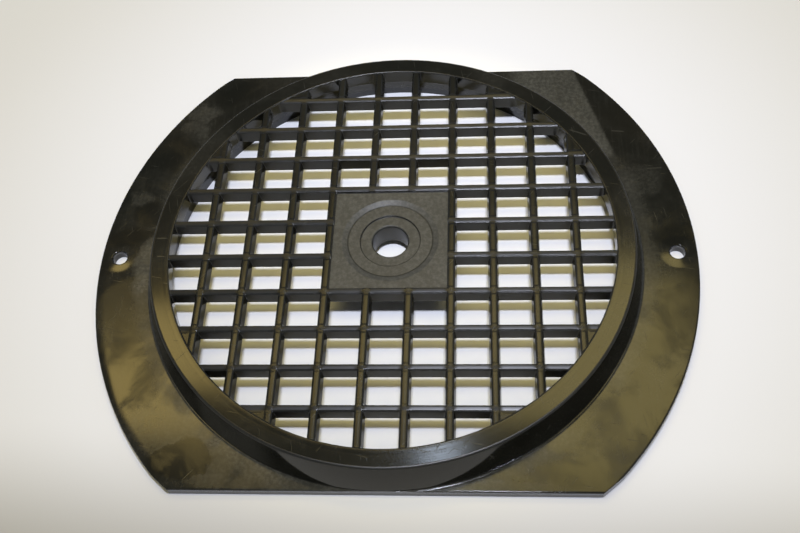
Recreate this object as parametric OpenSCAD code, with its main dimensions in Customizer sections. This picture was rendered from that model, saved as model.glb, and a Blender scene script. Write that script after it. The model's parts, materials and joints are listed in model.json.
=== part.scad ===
// Motor fan cover: a flange with two flats, a conical collar and a square finger grille,
// moulded in one piece. Millimetres, +Z up, origin on the hub axis in the plane of the
// mounting face, +X along the line of the two screw holes.

/* [Rim and collar] */
// Inner diameter of the rim, which the grille fills
rim_bore_d = 130.6; // [110:0.2:160]
// Width of the flat face on top of the rim
rim_face_w = 5.5; // [4:0.1:8]
// Outward flare of the collar from the rim down to the flange
collar_flare = 2.8; // [1:0.1:5]
// Height of the rim above the top of the flange
collar_h = 9.4; // [8:0.1:20]
// Depth of the lip that carries the ends of the bars
lip_depth = 4.8; // [4.6:0.1:7]
// Overhang of the lip past the wall of the fan well
lip_overhang = 2.4; // [1:0.1:4]
// Radius on the outer edge of the rim
rim_outer_r = 0.6; // [0.2:0.1:1.5]
// Radius on the inner edge of the rim
rim_inner_r = 0.4; // [0.2:0.1:1]
// Fillet between the collar and the flange
foot_fillet_r = 0.6; // [0.2:0.1:2]

/* [Grille] */
// Spacing of the bars, the same both ways
pitch = 12; // [11:0.1:14]
// Width of a rail, which runs from flat to flat, at its top
rail_top_w = 2.2; // [1.6:0.1:2.8]
// Width of a rail at its under face
rail_foot_w = 3; // [2.8:0.1:4]
// Depth of a rail
rail_depth = 3.1; // [2:0.1:4.5]
// Width of a rung, which runs from screw hole to screw hole, at its top
rung_top_w = 1.9; // [1.4:0.1:2.1]
// Width of a rung at its under face
rung_foot_w = 2.1; // [2.1:0.1:4]
// Depth of a rung
rung_depth = 4.2; // [2:0.1:4.5]
// Drop of the bar tops below the rim
bar_drop = 0.3; // [0.1:0.1:0.6]
// Width of the sloping border along each top edge of a bar
bar_bevel_w = 0.4; // [0.1:0.05:0.6]
// Drop of that border
bar_bevel_h = 0.2; // [0.1:0.05:0.4]
// Cells with less clear depth than this in front of the rim are filled
smallest_gap = 4; // [2:0.5:7]

/* [Flange] */
// Thickness of the flange
flange_t = 3.2; // [2:0.1:5]
// Reach of the flange past the foot of the collar, left and right
ear_reach = 16.1; // [12:0.1:30]
// Distance of the centre of each side arc past the hub axis
side_offset = 11.5; // [5:0.5:30]
// Depth to which the two flats cut the foot of the collar
flat_bite = 0.2; // [0.1:0.05:0.6]
// Radius on the edges of the flange
flange_edge_r = 0.4; // [0.2:0.1:0.8]
// Depth of the easing on the four corners
corner_ease = 0.6; // [0.3:0.1:2]

/* [Screw holes] */
// Diameter of the screw holes
hole_d = 4.5; // [3:0.1:6]
// Distance from a screw hole to the outer end of the flange
hole_edge = 5.7; // [4.5:0.1:9]
// Bevel around the top of a screw hole
hole_bevel = 0.3; // [0.1:0.1:0.6]

/* [Hub] */
// Cells across the solid pad in the middle of the grille
pad_cells = 3; // [3:2:5]
// Drop of the pad below the bar tops
pad_drop = 0.8; // [0.3:0.1:1.2]
// Diameter of the hub bore
hub_bore_d = 10.5; // [6:0.1:12]
// Wall of the sleeve around the bore
hub_wall = 3.2; // [2:0.1:5]
// Gap between the end of the sleeve and the plane of the mounting face
hub_rise = 3.2; // [1:0.1:6]
// Diameter of the round recess in the pad
recess_d = 28.6; // [26:0.1:32]
// Width of the sloping border of the recess
recess_slope_w = 1.8; // [0.8:0.1:3]
// Depth of the round recess
recess_depth = 0.6; // [0.3:0.1:1]
// Width of the sunk seat around the bore
seat_w = 3.6; // [2:0.1:5]
// Depth of the seat below the floor of the recess
seat_depth = 0.5; // [0.2:0.1:0.8]
// Bevel around the top of the bore
bore_bevel = 0.4; // [0.2:0.1:0.8]

/* [Hidden] */
$fn = 128;
round_steps = 4;
spare = 1;

rim_bore_r = rim_bore_d / 2;
rim_top_r = rim_bore_r + rim_face_w;
foot_r = rim_top_r + collar_flare;
well_r = rim_bore_r + lip_overhang;
rim_z = flange_t + collar_h;
bar_top_z = rim_z - bar_drop;
under_z = bar_top_z - max(rail_depth, rung_depth);
half_lines = ceil((rim_bore_r - smallest_gap) / pitch - 0.5);
grille_r = rim_bore_r + lip_overhang / 2;

flat_half = foot_r - flat_bite;
ear_half = foot_r + ear_reach;
side_r = ear_half + side_offset;
corner_x = sqrt(side_r * side_r - flat_half * flat_half) - side_offset;
corner_r = norm([corner_x, flat_half]) - corner_ease;
hole_x = ear_half - hole_edge;

pad_half = pad_cells * pitch / 2;
pad_z = bar_top_z - pad_drop;
recess_z = pad_z - recess_depth;
seat_z = recess_z - seat_depth;
seat_r = hub_bore_d / 2 + seat_w;
hub_r = hub_bore_d / 2 + hub_wall;

// Points on an arc in the plane of a section
function arc(centre, r, from, to) =
    [for (i = [0:round_steps])
        let (a = from + (to - from) * i / round_steps)
        centre + r * [cos(a), sin(a)]];

// Distance from a middle line to the near side of a cell, past the bar that bounds it
function near_side(k, top_w) = max((abs(k) - 0.5) * pitch + top_w / 2, 0);

// Radius of the point of a cell that lies nearest the axis
function inner_corner_r(i, j) = norm([near_side(i, rail_top_w), near_side(j, rung_top_w)]);

function is_filled(i, j) =
    let (gap = rim_bore_r - inner_corner_r(i, j))
    gap > 0 && gap < smallest_gap;

// Half section of the collar, with its rounded rim, its fillet and the lip over the well
module collar_section() {
    slant = norm([collar_flare, collar_h]);
    lean = atan2(collar_flare, collar_h);
    fillet_x = foot_r + foot_fillet_r * (slant - collar_flare) / collar_h;
    outer_x = rim_top_r - rim_outer_r * (slant - collar_flare) / collar_h;
    polygon(concat(
        [[well_r, 0], [fillet_x, 0]],
        arc([fillet_x, flange_t + foot_fillet_r], foot_fillet_r, 270, 180 + lean),
        arc([outer_x, rim_z - rim_outer_r], rim_outer_r, lean, 90),
        arc([rim_bore_r + rim_inner_r, rim_z - rim_inner_r], rim_inner_r, 90, 180),
        [[rim_bore_r, rim_z - lip_depth], [well_r, rim_z - lip_depth]]));
}

// Plate of the flange's thickness with rounded edges, in section from its middle outwards
module edge_section(reach) {
    inset = reach - flange_edge_r;
    polygon(concat(
        [[0, 0]],
        arc([inset, flange_edge_r], flange_edge_r, 270, 360),
        arc([inset, flange_t - flange_edge_r], flange_edge_r, 0, 90),
        [[0, flange_t]]));
}

module round_plate(r) {
    rotate_extrude() edge_section(r);
}

module flat_plate() {
    for (side = [0, 180])
        rotate([90, 0, 90 + side])
            linear_extrude(2 * ear_half, center = true) edge_section(flat_half);
}

module flange_plate() {
    intersection() {
        translate([-side_offset, 0, 0]) round_plate(side_r);
        translate([side_offset, 0, 0]) round_plate(side_r);
        translate([0, 0, -spare]) cylinder(r = corner_r, h = flange_t + 2 * spare);
        flat_plate();
    }
}

module collar() {
    intersection() {
        rotate_extrude() collar_section();
        translate([-ear_half, -flat_half, 0]) cube([2 * ear_half, 2 * flat_half, rim_z]);
    }
}

// One bar along Y, its sides drafted and its top edges sloped off
module bar(top_w, foot_w, depth) {
    top = top_w / 2;
    foot = foot_w / 2;
    translate([0, 0, bar_top_z])
        rotate([90, 0, 0])
            linear_extrude(2 * grille_r, center = true)
                polygon([[-foot, -depth], [foot, -depth],
                         [top, -bar_bevel_h], [top - bar_bevel_w, 0],
                         [bar_bevel_w - top, 0], [-top, -bar_bevel_h]]);
}

module bar_row(top_w, foot_w, depth) {
    for (i = [0.5 - half_lines : half_lines - 0.5])
        translate([i * pitch, 0, 0]) bar(top_w, foot_w, depth);
}

module rails() {
    bar_row(rail_top_w, rail_foot_w, rail_depth);
}

module rungs() {
    rotate([0, 0, 90]) bar_row(rung_top_w, rung_foot_w, rung_depth);
}

// Solid block over one or more cells, down to the under face of the deeper bars
module cell_block(half, top_z) {
    translate([-half, -half, under_z]) cube([2 * half, 2 * half, top_z - under_z]);
}

module grille() {
    intersection() {
        union() {
            rails();
            rungs();
            cell_block(pad_half, pad_z);
            for (i = [-half_lines:half_lines], j = [-half_lines:half_lines])
                if (is_filled(i, j))
                    translate([i * pitch, j * pitch, 0]) cell_block(pitch / 2, bar_top_z);
        }
        cylinder(r = grille_r, h = rim_z);
    }
}

// Space over the pad, inside the bars that frame it
module pad_cut() {
    half_x = pad_half - rail_top_w / 2;
    half_y = pad_half - rung_top_w / 2;
    translate([-half_x, -half_y, pad_z]) cube([2 * half_x, 2 * half_y, rim_z + spare - pad_z]);
}

module hub_sleeve() {
    translate([0, 0, hub_rise]) cylinder(r = hub_r, h = seat_z - hub_rise);
}

// Round recess with a sloping border, the seat in its floor, and the bevelled bore
module hub_cut() {
    recess_r = recess_d / 2;
    floor_r = recess_r - recess_slope_w;
    bore_r = hub_bore_d / 2;
    rotate_extrude()
        polygon([[0, 0], [bore_r, 0], [bore_r, seat_z - bore_bevel],
                 [bore_r + bore_bevel, seat_z], [seat_r, seat_z], [seat_r, recess_z],
                 [floor_r, recess_z], [recess_r, pad_z], [recess_r, rim_z + spare],
                 [0, rim_z + spare]]);
}

module screw_hole() {
    r = hole_d / 2;
    translate([0, 0, -spare]) cylinder(r = r, h = flange_t + 2 * spare);
    translate([0, 0, flange_t - hole_bevel])
        cylinder(r1 = r, r2 = r + hole_bevel + spare, h = hole_bevel + spare);
}

module fan_cover() {
    color("#2b2a22")
        difference() {
            union() {
                difference() {
                    flange_plate();
                    translate([0, 0, -spare]) cylinder(r = well_r, h = flange_t + 2 * spare);
                }
                collar();
                grille();
                hub_sleeve();
            }
            pad_cut();
            hub_cut();
            for (side = [-1, 1])
                translate([side * hole_x, 0, 0]) screw_hole();
        }
}

fan_cover();
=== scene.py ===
import json
import math
from types import SimpleNamespace

import bpy
from mathutils import Matrix, Vector

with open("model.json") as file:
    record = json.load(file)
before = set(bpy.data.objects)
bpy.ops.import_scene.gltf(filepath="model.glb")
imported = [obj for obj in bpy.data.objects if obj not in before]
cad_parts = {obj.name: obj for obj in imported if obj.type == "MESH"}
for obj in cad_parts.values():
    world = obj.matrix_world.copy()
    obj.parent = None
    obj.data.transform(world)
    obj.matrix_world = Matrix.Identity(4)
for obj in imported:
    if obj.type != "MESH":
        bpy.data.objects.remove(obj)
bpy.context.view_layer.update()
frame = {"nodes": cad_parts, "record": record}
cover = frame["nodes"]["fan_cover"]
record = frame["record"]
print("stage 1: frame loaded,", len(cover.data.polygons), "faces in the cover")


class Wire:
    # one output of a shader tree; arithmetic on it adds Math nodes
    def __init__(self, tree, socket):
        self.tree = tree
        self.socket = socket

    def node(self, kind, settings=None, values=None, output=0):
        made = self.tree.nodes.new(kind)
        for name, value in (settings or {}).items():
            setattr(made, name, value)
        for name, value in (values or {}).items():
            if isinstance(value, Wire):
                self.tree.links.new(value.socket, made.inputs[name])
            else:
                made.inputs[name].default_value = value
        return Wire(self.tree, made.outputs[output])

    def maths(self, operation, *values):
        return self.node("ShaderNodeMath", {"operation": operation}, dict(enumerate(values)))

    def __add__(self, other):
        return self.maths("ADD", self, other)

    def __sub__(self, other):
        return self.maths("SUBTRACT", self, other)

    def __mul__(self, other):
        return self.maths("MULTIPLY", self, other)

    def __truediv__(self, other):
        return self.maths("DIVIDE", self, other)

    def __pow__(self, other):
        return self.maths("POWER", self, other)

    def __radd__(self, other):
        return self.maths("ADD", other, self)

    def __rsub__(self, other):
        return self.maths("SUBTRACT", other, self)

    def __rmul__(self, other):
        return self.maths("MULTIPLY", other, self)

    def __abs__(self):
        return self.maths("ABSOLUTE", self)

    def least(self, other):
        return self.maths("MINIMUM", self, other)

    def most(self, other):
        return self.maths("MAXIMUM", self, other)

    # 0 below low and 1 above high, with soft ends
    def rise(self, low, high):
        return self.node("ShaderNodeMapRange", {"interpolation_type": "SMOOTHSTEP"},
                         {"Value": self, "From Min": low, "From Max": high})

    # 1 below low and 0 above high
    def fall(self, low, high):
        return 1 - self.rise(low, high)

    # the same two, with both ends given as offsets from a size
    def past(self, size, offsets):
        return self.rise(size + offsets[0], size + offsets[1])

    def within(self, size, offsets):
        return self.fall(size + offsets[0], size + offsets[1])

    # runs from low to high over a span of this value
    def between(self, span, low, high):
        return self.rise(*span) * (high - low) + low

    def parts(self):
        split = self.node("ShaderNodeSeparateXYZ", values={0: self}).socket.node
        return [Wire(self.tree, out) for out in split.outputs]

    def scaled(self, factors):
        return self.node("ShaderNodeVectorMath", {"operation": "MULTIPLY"}, {0: self, 1: factors})

    def turned(self, degrees):
        return self.node("ShaderNodeMapping", values={0: self, "Rotation": (0, 0, math.radians(degrees))})

    def noise(self, scale, detail=2.0, rough=0.5, warp=0.0):
        return self.node("ShaderNodeTexNoise", None,
                         {"Vector": self, "Scale": scale, "Detail": detail, "Roughness": rough,
                          "Distortion": warp})

    # mixes two colours by this mask
    def blend(self, low, high):
        mix = self.node("ShaderNodeMix", {"data_type": "RGBA"}, {0: self, 6: low, 7: high})
        return Wire(self.tree, mix.socket.node.outputs[2])


def newMaterial(name):
    material = bpy.data.materials.new(name)
    material.use_nodes = True
    tree = material.node_tree
    shader = tree.nodes["Principled BSDF"]
    start = Wire(tree, tree.nodes.new("ShaderNodeTexCoord").outputs["Object"])
    return material, shader, start


def plug(wire, shader, name):
    wire.tree.links.new(wire.socket, shader.inputs[name])


def colour(red, green, blue):
    return (red, green, blue, 1.0)


mmPerMetre = 1000.0

# sizes of the cover in millimetres, as the solid has them
holePattern = next(m for m in record["mounts"] if m["kind"] == "bolt_pattern")
coverShape = {
    "pitch": 12.0,
    "rimBore": 65.3,         # radii of the rim and of the foot of the collar
    "rimEdge": 70.8,
    "collarFoot": 73.6,
    "flangeTop": 3.2,        # heights above the table
    "barTop": 12.3,
    "railHalf": 1.1,         # half widths of the bar tops
    "rungHalf": 0.95,
    "rungFlat": 0.55,        # half width inside the sloped borders
    "borderDrop": 0.2,
    "rungDepth": 4.2,
    "padHalf": 16.9,
    "recessFloor": 12.5,     # radii in the hub
    "seat": 8.85,
    "bore": 5.25,
    "sideOffset": 11.5,      # centre and radius of the round sides
    "sideRadius": 101.2,
    "holeX": holePattern["dims"]["spacing_x_mm"] / 2,
}

# soft edges of the zones: where each begins and ends, in millimetres from the size that bounds it
zoneEdges = {
    "pad": (-0.2, 0.2),
    "top": (-1.2, -0.4),
    "flange": (0.1, 0.6),
    "ring": (-0.1, 0.2),
    "bore": (0.3, 0.8),
    "wallFoot": (0.5, 1.0),
    "wall": (0.7, 1.7),
    "bars": (-5.0, -4.6),
    "barSides": (-0.5, -0.3),
}


# what lies where on the cover: each zone is 1 inside and 0 outside
def coverZones(place):
    shape = coverShape
    edges = zoneEdges
    mm = place.scaled((mmPerMetre, mmPerMetre, mmPerMetre))
    x, y, z = mm.parts()
    radius = (x * x + y * y) ** 0.5
    pad = abs(x).most(abs(y)).within(shape["padHalf"], edges["pad"])
    top = z.past(shape["flangeTop"], edges["top"])
    ring = z.past(shape["barTop"], edges["ring"])
    inBore = radius.within(shape["rimBore"], edges["bore"]) * (1 - pad)
    wall = z.past(shape["flangeTop"], edges["wallFoot"]) * (1 - ring)
    return SimpleNamespace(
        mm=mm, x=x, y=y, z=z, radius=radius, pad=pad, top=top, ring=ring, inBore=inBore,
        flange=top * z.within(shape["flangeTop"], edges["flange"]),
        wall=wall * radius.past(shape["rimBore"], edges["wall"]),
        bars=inBore * z.past(shape["barTop"], edges["bars"]) * (1 - ring),
        barSides=inBore * z.within(shape["barTop"], edges["barSides"]))


# signed distance to the nearest bar line
def toBarLine(value, pitch):
    turns = value / pitch
    return (turns.maths("FRACT", turns) - 0.5) * pitch


barFinish = {
    "railCrown": 3.0,              # radii of the rounded tops
    "rungCrown": 8.0,
    "rungLean": 0.25,              # slope of the rung tops, down towards the front
    "sideDraft": 0.10,             # slope added to the sides of the bars
    "draftEdge": (-1.1, -0.3),     # from the rim bore, where that slope ends
    "rungEdge": (0.0, 0.65),       # past the half widths, where one bar's shape gives way to the other's
    "railEdge": (-0.3, 1.1),
    "frontShare": 0.4,             # how far the rungs run through the rails, at the front and at the rear
    "rearShare": 0.9,
    "shareSpan": (-20.0, 10.0),
}


# bar tops are rounded a little across; where two bars meet, both shapes count
def barRelief(zone):
    shape = coverShape
    finish = barFinish
    railGap = abs(toBarLine(zone.x, shape["pitch"]))
    rungSide = toBarLine(zone.y, shape["pitch"])
    rungGap = rungSide.least(shape["rungFlat"]).most(-shape["rungFlat"])
    onRung = abs(rungSide).within(shape["rungHalf"], finish["rungEdge"])
    railTop = railGap.least(shape["railHalf"]) ** 2 * (-0.5 / finish["railCrown"])
    rungTop = rungGap * finish["rungLean"] - rungGap * rungGap * (0.5 / finish["rungCrown"])
    atRails = zone.y.between(finish["shareSpan"], finish["frontShare"], finish["rearShare"])
    clearOfRails = railGap.past(shape["railHalf"], finish["railEdge"])
    rungShare = onRung * (atRails + (1 - atRails) * clearOfRails)
    crown = (railTop * (1 - onRung * atRails) + rungTop * rungShare) * zone.bars
    belowTop = (shape["barTop"] - shape["borderDrop"] - zone.z).most(0.0).least(shape["rungDepth"])
    draft = belowTop * zone.radius.within(shape["rimBore"], finish["draftEdge"])
    draft = draft * (1 - zone.pad) * finish["sideDraft"]
    return crown + draft, rungShare


# a noise is given by its scale, detail, roughness and warp, and a span by both ends of a soft step
flangeFinish = {
    "moundHeight": 0.14,           # the flange is pulled up a little around each screw hole
    "moundSpan": (1.5, 5.8),
    "rollReach": 3.0,              # it rolls off along its left side
    "rollDrop": 0.10,
    "rollSpan": (-30.0, 30.0),
    "bowFrom": 20.0,               # in front of this line it bows up a little
    "leftBow": 0.00016,
    "rightBow": 0.00021,
    "bowSpan": (-20.0, 20.0),
    "waveHeight": 0.13,
    "waveNoise": (0.022, 1.0),
}


def flangeRelief(zone):
    shape = coverShape
    finish = flangeFinish
    holeGap = ((abs(zone.x) - shape["holeX"]) ** 2 + zone.y * zone.y) ** 0.5
    mound = holeGap.fall(*finish["moundSpan"]) * zone.top * finish["moundHeight"]
    sideX = abs(zone.x) + shape["sideOffset"]
    toSide = shape["sideRadius"] - (sideX * sideX + zone.y * zone.y) ** 0.5
    roll = (1 - toSide.least(finish["rollReach"]) / finish["rollReach"]) ** 2
    roll = roll * zone.flange * zone.x.fall(*finish["rollSpan"]) * -finish["rollDrop"]
    ahead = (zone.y - finish["bowFrom"]).least(0.0)
    bow = zone.x.between(finish["bowSpan"], finish["leftBow"], finish["rightBow"])
    bow = ahead * ahead * zone.flange * bow
    wave = (zone.mm.noise(*finish["waveNoise"]) - 0.5) * finish["waveHeight"] * zone.flange
    return mound + roll + bow + wave


scratchFinish = {
    "lines": (                     # single scratches: both ends in millimetres
        (53.5, 39.5, 59.8, 36.7),
        (72.3, 25.6, 75.7, 25.9),
        (77.4, 30.9, 83.2, 31.1),
        (67.9, 46.4, 72.8, 45.9),
        (-68.9, -5.9, -66.0, -5.9),
        (-70.2, 0.6, -66.2, 0.5),
    ),
    "lineHalf": 0.35,
    "lineCore": 0.3,               # shares of the half width and the half length at full strength
    "lineRun": 0.6,
    "lineStrength": 0.4,
    "fine": ((12, 2.4, 0.11), (78, 2.8, 0.13), (131, 2.2, 0.12)),  # turn, and scales across and along
    "fineDown": 0.3,
    "fineNoise": (1.0, 1.0, 0.4),
    "fineSpan": (0.73, 0.78),
    "fineStrength": 0.35,
}


# thin lines between two points, soft at their sides and ends
def thinLines(x, y, finish):
    total = None
    halfWidth = finish["lineHalf"]
    for startX, startY, endX, endY in finish["lines"]:
        reach = math.hypot(endX - startX, endY - startY)
        stepX = (endX - startX) / reach
        stepY = (endY - startY) / reach
        along = (x - startX) * stepX + (y - startY) * stepY
        across = abs((y - startY) * stepX - (x - startX) * stepY)
        halfReach = reach / 2
        fromMiddle = abs(along - halfReach)
        line = across.fall(halfWidth * finish["lineCore"], halfWidth)
        line = line * fromMiddle.fall(halfReach * finish["lineRun"], halfReach)
        total = line if total is None else total.most(line)
    return total


# single scratches, and fine ones in a few directions
def scratchMarks(zone):
    finish = scratchFinish
    marks = thinLines(zone.x, zone.y, finish) * finish["lineStrength"]
    for turn, across, along in finish["fine"]:
        streak = zone.mm.turned(turn).scaled((along, across, finish["fineDown"]))
        streak = streak.noise(*finish["fineNoise"]).rise(*finish["fineSpan"])
        marks = marks.most(streak * finish["fineStrength"])
    return marks


# marks of use on the flange: x, y, half length and half width in millimetres, turn in degrees, strength
fingerMarks = (
    (-56.0, 65.5, 8.0, 5.0, 25.0, 1.0),
    (-72.0, 41.0, 9.0, 5.0, 60.0, 0.8),
    (-78.0, 17.0, 5.0, 4.0, 20.0, 0.9),
    (-82.0, 8.0, 8.0, 3.0, 20.0, 1.0),
    (72.0, 52.0, 9.0, 5.0, -45.0, 0.8),
    (84.0, 6.0, 7.0, 3.5, 10.0, 1.0),
    (56.0, -50.0, 9.0, 4.0, 50.0, 0.7),
    (50.0, -68.0, 10.0, 3.0, 10.0, 0.6),
)
thumbMark = ((-55.0, -65.0, 8.5, 6.5, 15.0, 1.0),)
dustyPlaces = (
    (-66.0, 58.0, 5.0, 4.0, 30.0, 0.7),
    (-67.0, 49.0, 4.0, 5.0, 0.0, 0.6),
    (-81.0, 22.0, 4.0, 3.0, 0.0, 0.5),
    (-74.5, -4.0, 3.5, 11.0, 0.0, 0.9),
    (-42.0, -66.0, 22.0, 8.0, -15.0, 0.5),
    (-62.0, -55.0, 9.0, 7.0, 30.0, 0.25),
    (76.0, 26.0, 6.0, 5.0, 40.0, 0.3),
    (8.0, -73.0, 40.0, 3.0, 0.0, 0.4),
)
dustAndPaintedLightFinish = {
    "markEdge": (0.35, 1.6),       # soft edge of an oval mark, in squared half sizes
    "thumbEdge": (0.75, 1.1),
    "markWarp": 9.0,               # how far the outline of a mark wanders
    "cornerX": (34.0, 42.0),       # the dusty corner at the rear right
    "cornerY": (33.0, 40.0),
    "cornerDust": 1.3,
    "wipeX": 58.5,                 # it ends at a straight line: a point on it, and its normal
    "wipeY": 70.5,
    "wipeNormal": (0.958, 0.289),
    "wipeEdge": (-0.8, 0.6),
    "patchNoise": (0.045, 4.0, 0.62, 0.4),
    "patchSpan": (0.42, 0.66),
    "speckleNoise": (0.9, 3.0, 0.7),
    "speckleSpan": (0.35, 0.75),
    "brushScale": (1.3, 0.06, 0.3),
    "brushNoise": (1.0, 2.0),
    "brushSpan": (0.48, 0.68),
    "footEdge": (1.5, 6.5),        # past the foot of the collar
    "boreEdge": (0.05, 0.35),      # past the hub bore
    "floorCrease": (0.12, 0.32),   # half widths of the creases in the hub recess
    "seatCrease": (0.10, 0.28),
    # the creases of the hub recess are left bare of dust so they show as dark rings: painted shade
    "creaseShade": 0.8,
    "leftX": (-62.0, -56.0),       # two stretches of the collar wall painted lighter with the dust colour, a painted reflection, at the left and at the front left
    "leftY": (-44.0, -34.0),
    "frontStart": (-52.0, -48.0),
    "frontEnd": (-36.0, -26.0),
    "frontY": (-30.0, -20.0),
    "allOver": 0.006,              # how much dust lies on each place, how strong the painted reflection on the collar wall is, and what each mark takes off
    "patches": 0.03,
    "foot": 0.06,
    "settled": 0.11,
    "pad": 0.17,
    "brushed": 0.014,
    "speckleLow": 0.55,
    "speckle": 0.6,
    "wipedLoss": 0.9,
    "wallLoss": 0.7,
    "barLoss": 0.5,
    "sideLoss": 0.6,
    "scratchDust": 0.16,
    "paintedWallReflection": 0.09,
}


# soft-edged oval marks, the strongest where they overlap
def ovalMarks(x, y, marks, edge):
    total = None
    for centreX, centreY, length, width, turn, strength in marks:
        cosine = math.cos(math.radians(turn))
        sine = math.sin(math.radians(turn))
        along = ((x - centreX) * cosine + (y - centreY) * sine) / length
        across = ((y - centreY) * cosine - (x - centreX) * sine) / width
        mark = (along * along + across * across).fall(*edge) * strength
        total = mark if total is None else total.most(mark)
    return total


# dust of the flange: oval patches, and the rear right corner up to the wiped line
def settledDust(zone, warpX, warpY):
    finish = dustAndPaintedLightFinish
    settled = ovalMarks(warpX, warpY, dustyPlaces, finish["markEdge"]) * zone.flange
    normalX, normalY = finish["wipeNormal"]
    pastLine = (zone.x - finish["wipeX"]) * normalX + (zone.y - finish["wipeY"]) * normalY
    corner = zone.x.rise(*finish["cornerX"]) * zone.y.rise(*finish["cornerY"]) * zone.flange
    return settled.most(pastLine.fall(*finish["wipeEdge"]) * corner * finish["cornerDust"])


# on the pad the dust leaves out the bore, and leaves the creases of the recess bare so they show as dark
# rings: painted shade
def padDustWithCreaseShade(zone):
    shape = coverShape
    finish = dustAndPaintedLightFinish
    crease = abs(zone.radius - shape["recessFloor"]).fall(*finish["floorCrease"])
    crease = crease.most(abs(zone.radius - shape["seat"]).fall(*finish["seatCrease"]))
    aroundBore = zone.pad * zone.radius.past(shape["bore"], finish["boreEdge"])
    return aroundBore * (1 - crease * finish["creaseShade"])


# painted reflection: the collar wall gets the dust colour at its left and front left, where it mirrors the
# lit flange and table
def paintedWallReflection(zone):
    finish = dustAndPaintedLightFinish
    left = zone.x.fall(*finish["leftX"]) * zone.y.rise(*finish["leftY"])
    front = zone.x.rise(*finish["frontStart"]) * zone.x.fall(*finish["frontEnd"])
    return left.most(front * zone.y.fall(*finish["frontY"])) * zone.wall


# dust lies along the foot of the collar and in soft patches, and fingers have wiped it off elsewhere; the
# same mask holds painted reflection on two stretches of the collar wall and painted shade in the creases of
# the hub recess
def dustWithPaintedLightMask(zone, drift, scratches):
    finish = dustAndPaintedLightFinish
    warpX = zone.x + (drift - 0.5) * finish["markWarp"]
    warpY = zone.y - (drift - 0.5) * finish["markWarp"]
    wiped = ovalMarks(warpX, warpY, fingerMarks, finish["markEdge"])
    wiped = wiped.most(ovalMarks(warpX, warpY, thumbMark, finish["thumbEdge"])) * zone.flange
    patches = zone.mm.noise(*finish["patchNoise"]).rise(*finish["patchSpan"])
    speckle = zone.mm.noise(*finish["speckleNoise"]).rise(*finish["speckleSpan"])
    foot = zone.radius.within(coverShape["collarFoot"], finish["footEdge"]) * zone.flange
    brushed = zone.mm.scaled(finish["brushScale"]).noise(*finish["brushNoise"])
    brushed = brushed.rise(*finish["brushSpan"]) * zone.flange
    dustWithPaintedLight = patches * finish["patches"] + foot * finish["foot"] + brushed * finish["brushed"]
    dustWithPaintedLight = dustWithPaintedLight + settledDust(zone, warpX, warpY) * finish["settled"] + padDustWithCreaseShade(zone) * finish["pad"]
    dustWithPaintedLight = (dustWithPaintedLight + finish["allOver"]) * (finish["speckleLow"] + speckle * finish["speckle"])
    dustWithPaintedLight = dustWithPaintedLight * (1 - wiped * finish["wipedLoss"]) * (1 - zone.wall * finish["wallLoss"])
    dustWithPaintedLight = dustWithPaintedLight * (1 - zone.bars * finish["barLoss"]) * (1 - zone.barSides * finish["sideLoss"])
    return dustWithPaintedLight.most(scratches * finish["scratchDust"]).most(paintedWallReflection(zone) * finish["paintedWallReflection"])


plasticFinish = {
    "black": colour(0.0055, 0.0057, 0.0042),
    "brown": colour(0.0088, 0.0080, 0.0054),
    # this dust colour also paints the reflection on the collar wall
    "dustWithPaintedLight": colour(0.30, 0.295, 0.26),
    "toneNoise": (0.03, 3.0),
    "toneSpan": (0.35, 0.7),
    "rough": 0.09,                 # of the bare plastic, the bars and the pad
    "railRough": 0.19,
    "rungRough": 0.33,
    "padRough": 0.39,
    "smudgeRough": 0.15,           # added by each mark
    "dustRough": 0.4,
    "scratchRough": 0.12,
    "ringRough": 0.06,
    "rimRough": 0.22,
    "smudgeNoise": (0.06, 4.0, 0.6, 0.6),
    "smudgeSpan": (0.42, 0.68),
    "outerLine": (-0.7, -0.5),     # worn lines along the rim, from its outer and its inner edge
    "innerLine": (0.35, 0.5),
    "lineDepth": 1.0,              # how far below the bar tops they begin
    "driftNoise": (0.12, 3.0, 0.6),
    "ringDrift": 0.8,              # how far the rings of the mould wander
    "ringScale": 1.6,
    "ringDetail": 3.0,
    "ringSpan": (0.45, 0.7),
    "ringHeight": 0.0011,          # millimetres, of the finest relief
    "grainHeight": 0.0006,
    "scratchDepth": 0.006,
    "grainNoise": (1.6, 3.0),
    "softEdge": 0.00035,           # metres, of the worn edges
    "edgeSamples": 6,
}


def plasticRoughness(zone, rungShare, rings, dustWithPaintedLight, scratches):
    shape = coverShape
    finish = plasticFinish
    smudge = zone.mm.noise(*finish["smudgeNoise"]).rise(*finish["smudgeSpan"])
    rough = finish["rough"] + smudge * finish["smudgeRough"] * zone.flange
    rough = rough + dustWithPaintedLight * finish["dustRough"] + scratches * finish["scratchRough"]
    rough = rough + rings.rise(*finish["ringSpan"]) * zone.ring * finish["ringRough"]
    rough = rough + zone.pad * (finish["padRough"] - finish["rough"])
    barRough = rungShare * (finish["rungRough"] - finish["railRough"]) + finish["railRough"]
    rough = rough + zone.inBore * (1 - zone.ring) * (barRough - finish["rough"])
    rimLine = zone.radius.past(shape["rimEdge"], finish["outerLine"])
    rimLine = rimLine + zone.radius.within(shape["rimBore"], finish["innerLine"]) * zone.ring
    return rough + rimLine * zone.z.past(shape["barTop"], (-finish["lineDepth"], 0.0)) * finish["rimRough"]


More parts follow.
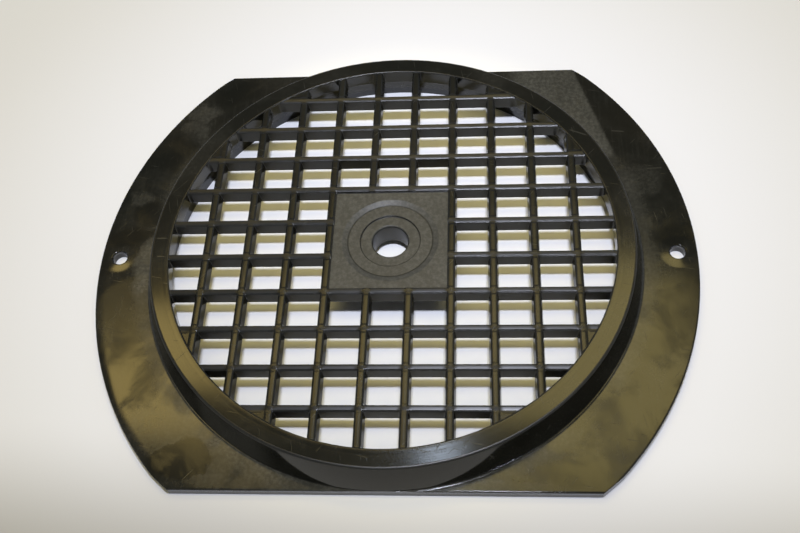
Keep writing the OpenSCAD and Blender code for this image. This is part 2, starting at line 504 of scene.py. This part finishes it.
def coverPlastic():
    finish = plasticFinish
    material, shader, place = newMaterial("oliveBlackPlastic")
    zone = coverZones(place)
    drift = zone.mm.noise(*finish["driftNoise"])
    # faint rings around the rim, as a turned mould leaves them
    rings = zone.mm.node("ShaderNodeTexNoise", {"noise_dimensions": "1D"},
                         {"W": zone.radius + drift * finish["ringDrift"], "Scale": finish["ringScale"],
                          "Detail": finish["ringDetail"]})
    scratches = scratchMarks(zone)
    dustWithPaintedLight = dustWithPaintedLightMask(zone, drift, scratches)
    tone = zone.mm.noise(*finish["toneNoise"]).rise(*finish["toneSpan"])
    base = tone.blend(finish["black"], finish["brown"])
    # the dust mix carries real dust, painted reflection on the collar wall and painted shade in the hub
    # creases
    plug(dustWithPaintedLight.blend(base, finish["dustWithPaintedLight"]), shader, "Base Color")

    barHeight, rungShare = barRelief(zone)
    plug(plasticRoughness(zone, rungShare, rings, dustWithPaintedLight, scratches), shader, "Roughness")

    grain = (zone.mm.noise(*finish["grainNoise"]) - 0.5) * finish["grainHeight"]
    ringLines = (rings - 0.5) * zone.ring * finish["ringHeight"]
    height = barHeight + flangeRelief(zone) + grain + ringLines - scratches * finish["scratchDepth"]
    worn = place.node("ShaderNodeBevel", {"samples": finish["edgeSamples"]}, {"Radius": finish["softEdge"]})
    bump = height.node("ShaderNodeBump", None,
                       {"Strength": 1.0, "Distance": 1 / mmPerMetre, "Height": height, "Normal": worn})
    plug(bump, shader, "Normal")
    return material


cover.data.materials.clear()
cover.data.materials.append(coverPlastic())
print("stage 2: cover finished")

# colours of the table, and where they meet, in metres; the table is painted brighter under the cover and
# darker close in front: painted light and painted shade
tableTop = {
    "size": 3.0,
    "rough": 0.55,
    # painted light: a brighter pool under the cover, the brightest under its rear half
    "paintedPoolRear": colour(0.88, 0.88, 0.88),
    "middle": colour(0.79, 0.79, 0.79),
    "middleSpan": (-0.05, 0.04),
    "far": colour(0.735, 0.745, 0.81),
    "paintedPoolReach": (0.070, 0.095),
    "paintedShadeFront": colour(0.355, 0.35, 0.35),  # painted shade close in front, where the light falls off
    "paintedShadeSpan": (0.055, 0.105),
    "paintedShadeSlant": 0.05,                  # slope of its edge, which runs nearly side to side
    "backdrop": colour(0.80, 0.80, 0.785),
    "backdropSpan": (0.15, 0.30),         # past this distance from the hub the table is the plain backdrop
}


def makeTable():
    bpy.ops.object.select_all(action="DESELECT")
    bpy.ops.mesh.primitive_plane_add(size=tableTop["size"])
    table = bpy.context.active_object
    table.name = "tableTop"
    material, shader, place = newMaterial("paleTable")
    x, y = place.parts()[:2]
    distance = (x * x + y * y) ** 0.5
    away = distance.rise(*tableTop["backdropSpan"])
    # painted light under the cover and painted shade close in front
    paintedPool = y.rise(*tableTop["middleSpan"]).blend(tableTop["middle"], tableTop["paintedPoolRear"])
    tone = distance.rise(*tableTop["paintedPoolReach"]).blend(paintedPool, tableTop["far"])
    front = (y * -1.0 - x * tableTop["paintedShadeSlant"]).rise(*tableTop["paintedShadeSpan"]) * (1 - away)
    plug(front.blend(tone, tableTop["paintedShadeFront"]), shader, "Base Color")
    shader.inputs["Roughness"].default_value = tableTop["rough"]
    direct = place.node("ShaderNodeLightPath", output="Is Camera Ray")
    seen = direct.most(place.node("ShaderNodeLightPath", output="Is Glossy Ray"))
    plain = place.node("ShaderNodeEmission", None, {"Color": tableTop["backdrop"], "Strength": 1.0})
    lit = Wire(place.tree, shader.outputs["BSDF"])
    mixed = away.node("ShaderNodeMixShader", None, {0: away * seen, 1: lit, 2: plain})
    plug(mixed, place.tree.nodes["Material Output"], "Surface")
    table.data.materials.append(material)


makeTable()
print("stage 3: table laid")

# studio light: a cool lamp above the camera, warm panels above the rear, a ceiling panel, a small cool lamp
lamps = {
    "keyLamp": {"place": (0.036, -0.086, 0.40), "size": (0.05, 0.03), "tilt": 20.0, "aside": 5.0,
                "spread": 80.0, "watts": 0.365, "tint": (0.75, 0.79, 0.94)},
    "leftPanel": {"place": (-0.58, 1.015, 2.0), "size": (0.92, 0.25), "watts": 3.7,
                  "tint": (1.0, 0.74, 0.24)},
    "rightPanel": {"place": (0.23, 1.035, 2.0), "size": (0.70, 0.47), "watts": 3.4,
                   "tint": (1.0, 0.80, 0.29)},
    "ceiling": {"place": (0.0, 0.10, 2.0), "size": (3.2, 0.52), "watts": 19.6,
                "tint": (1.0, 0.86, 0.34), "mirrored": False},
    "smallLamp": {"place": (-0.075, 0.718, 2.0), "size": (0.09, 0.07), "watts": 0.36,
                  "tint": (0.70, 0.82, 1.0)},
}


def makeLamps():
    for name, lamp in lamps.items():
        light = bpy.data.lights.new(name, "AREA")
        light.shape = "RECTANGLE"
        light.size, light.size_y = lamp["size"]
        light.energy = lamp["watts"]
        light.color = lamp["tint"]
        holder = bpy.data.objects.new(name, light)
        holder.location = lamp["place"]
        holder.visible_glossy = lamp.get("mirrored", True)
        if "spread" in lamp:
            light.spread = math.radians(lamp["spread"])
            holder.rotation_euler = (math.radians(lamp["tilt"]), math.radians(lamp["aside"]), 0.0)
        bpy.context.scene.collection.objects.link(holder)


# glow of the room by direction: low down, above, and above towards the rear
roomGlow = {
    "walls": colour(0.31, 0.335, 0.38),   # cool daylight
    "wallTop": (0.40, 0.60),
    "open": colour(0.11, 0.11, 0.10),
    "rear": colour(0.085, 0.088, 0.085),  # the dark end of the room
    "rearFrom": (0.36, 0.50),
}


def makeRoom():
    world = bpy.data.worlds.new("room")
    world.use_nodes = True
    tree = world.node_tree
    y, z = Wire(tree, tree.nodes.new("ShaderNodeTexCoord").outputs["Generated"]).parts()[1:]
    above = y.rise(*roomGlow["rearFrom"]).blend(roomGlow["open"], roomGlow["rear"])
    room = z.rise(*roomGlow["wallTop"]).blend(roomGlow["walls"], above)
    seen = room.node("ShaderNodeLightPath", output="Is Camera Ray")
    plug(seen.blend(room, tableTop["backdrop"]), tree.nodes["Background"], "Color")
    tree.nodes["Background"].inputs["Strength"].default_value = 1.0
    bpy.context.scene.world = world
    bpy.context.scene.view_settings.view_transform = "Standard"


makeLamps()
makeRoom()
print("stage 4: lamps hung")

# camera: place in metres, angles in degrees, focal length in pixels of an image of that width
viewPoint = {
    "place": (0.026379, -0.159138, 0.247716),
    "yaw": -8.7772,
    "down": 57.3394,
    "roll": -7.9738,
    "focalPixels": 976.2,
    "imageWidth": 800,
    "sensor": 36.0,
    "clipStart": 0.01,
}


def makeCamera():
    yaw = math.radians(viewPoint["yaw"])
    down = math.radians(viewPoint["down"])
    roll = math.radians(viewPoint["roll"])
    ahead = Vector((math.sin(yaw) * math.cos(down), math.cos(yaw) * math.cos(down), -math.sin(down)))
    level = Vector((math.cos(yaw), -math.sin(yaw), 0.0))
    above = level.cross(ahead)
    right = math.cos(roll) * level + math.sin(roll) * above
    top = math.cos(roll) * above - math.sin(roll) * level
    data = bpy.data.cameras.new("camera")
    data.sensor_fit = "HORIZONTAL"
    data.sensor_width = viewPoint["sensor"]
    data.lens = viewPoint["focalPixels"] / viewPoint["imageWidth"] * viewPoint["sensor"]
    data.clip_start = viewPoint["clipStart"]
    camera = bpy.data.objects.new("camera", data)
    axes = Matrix((right, top, -ahead)).transposed()
    camera.matrix_world = Matrix.Translation(viewPoint["place"]) @ axes.to_4x4()
    bpy.context.scene.collection.objects.link(camera)
    bpy.context.scene.camera = camera


makeCamera()
print("stage 5: camera set")
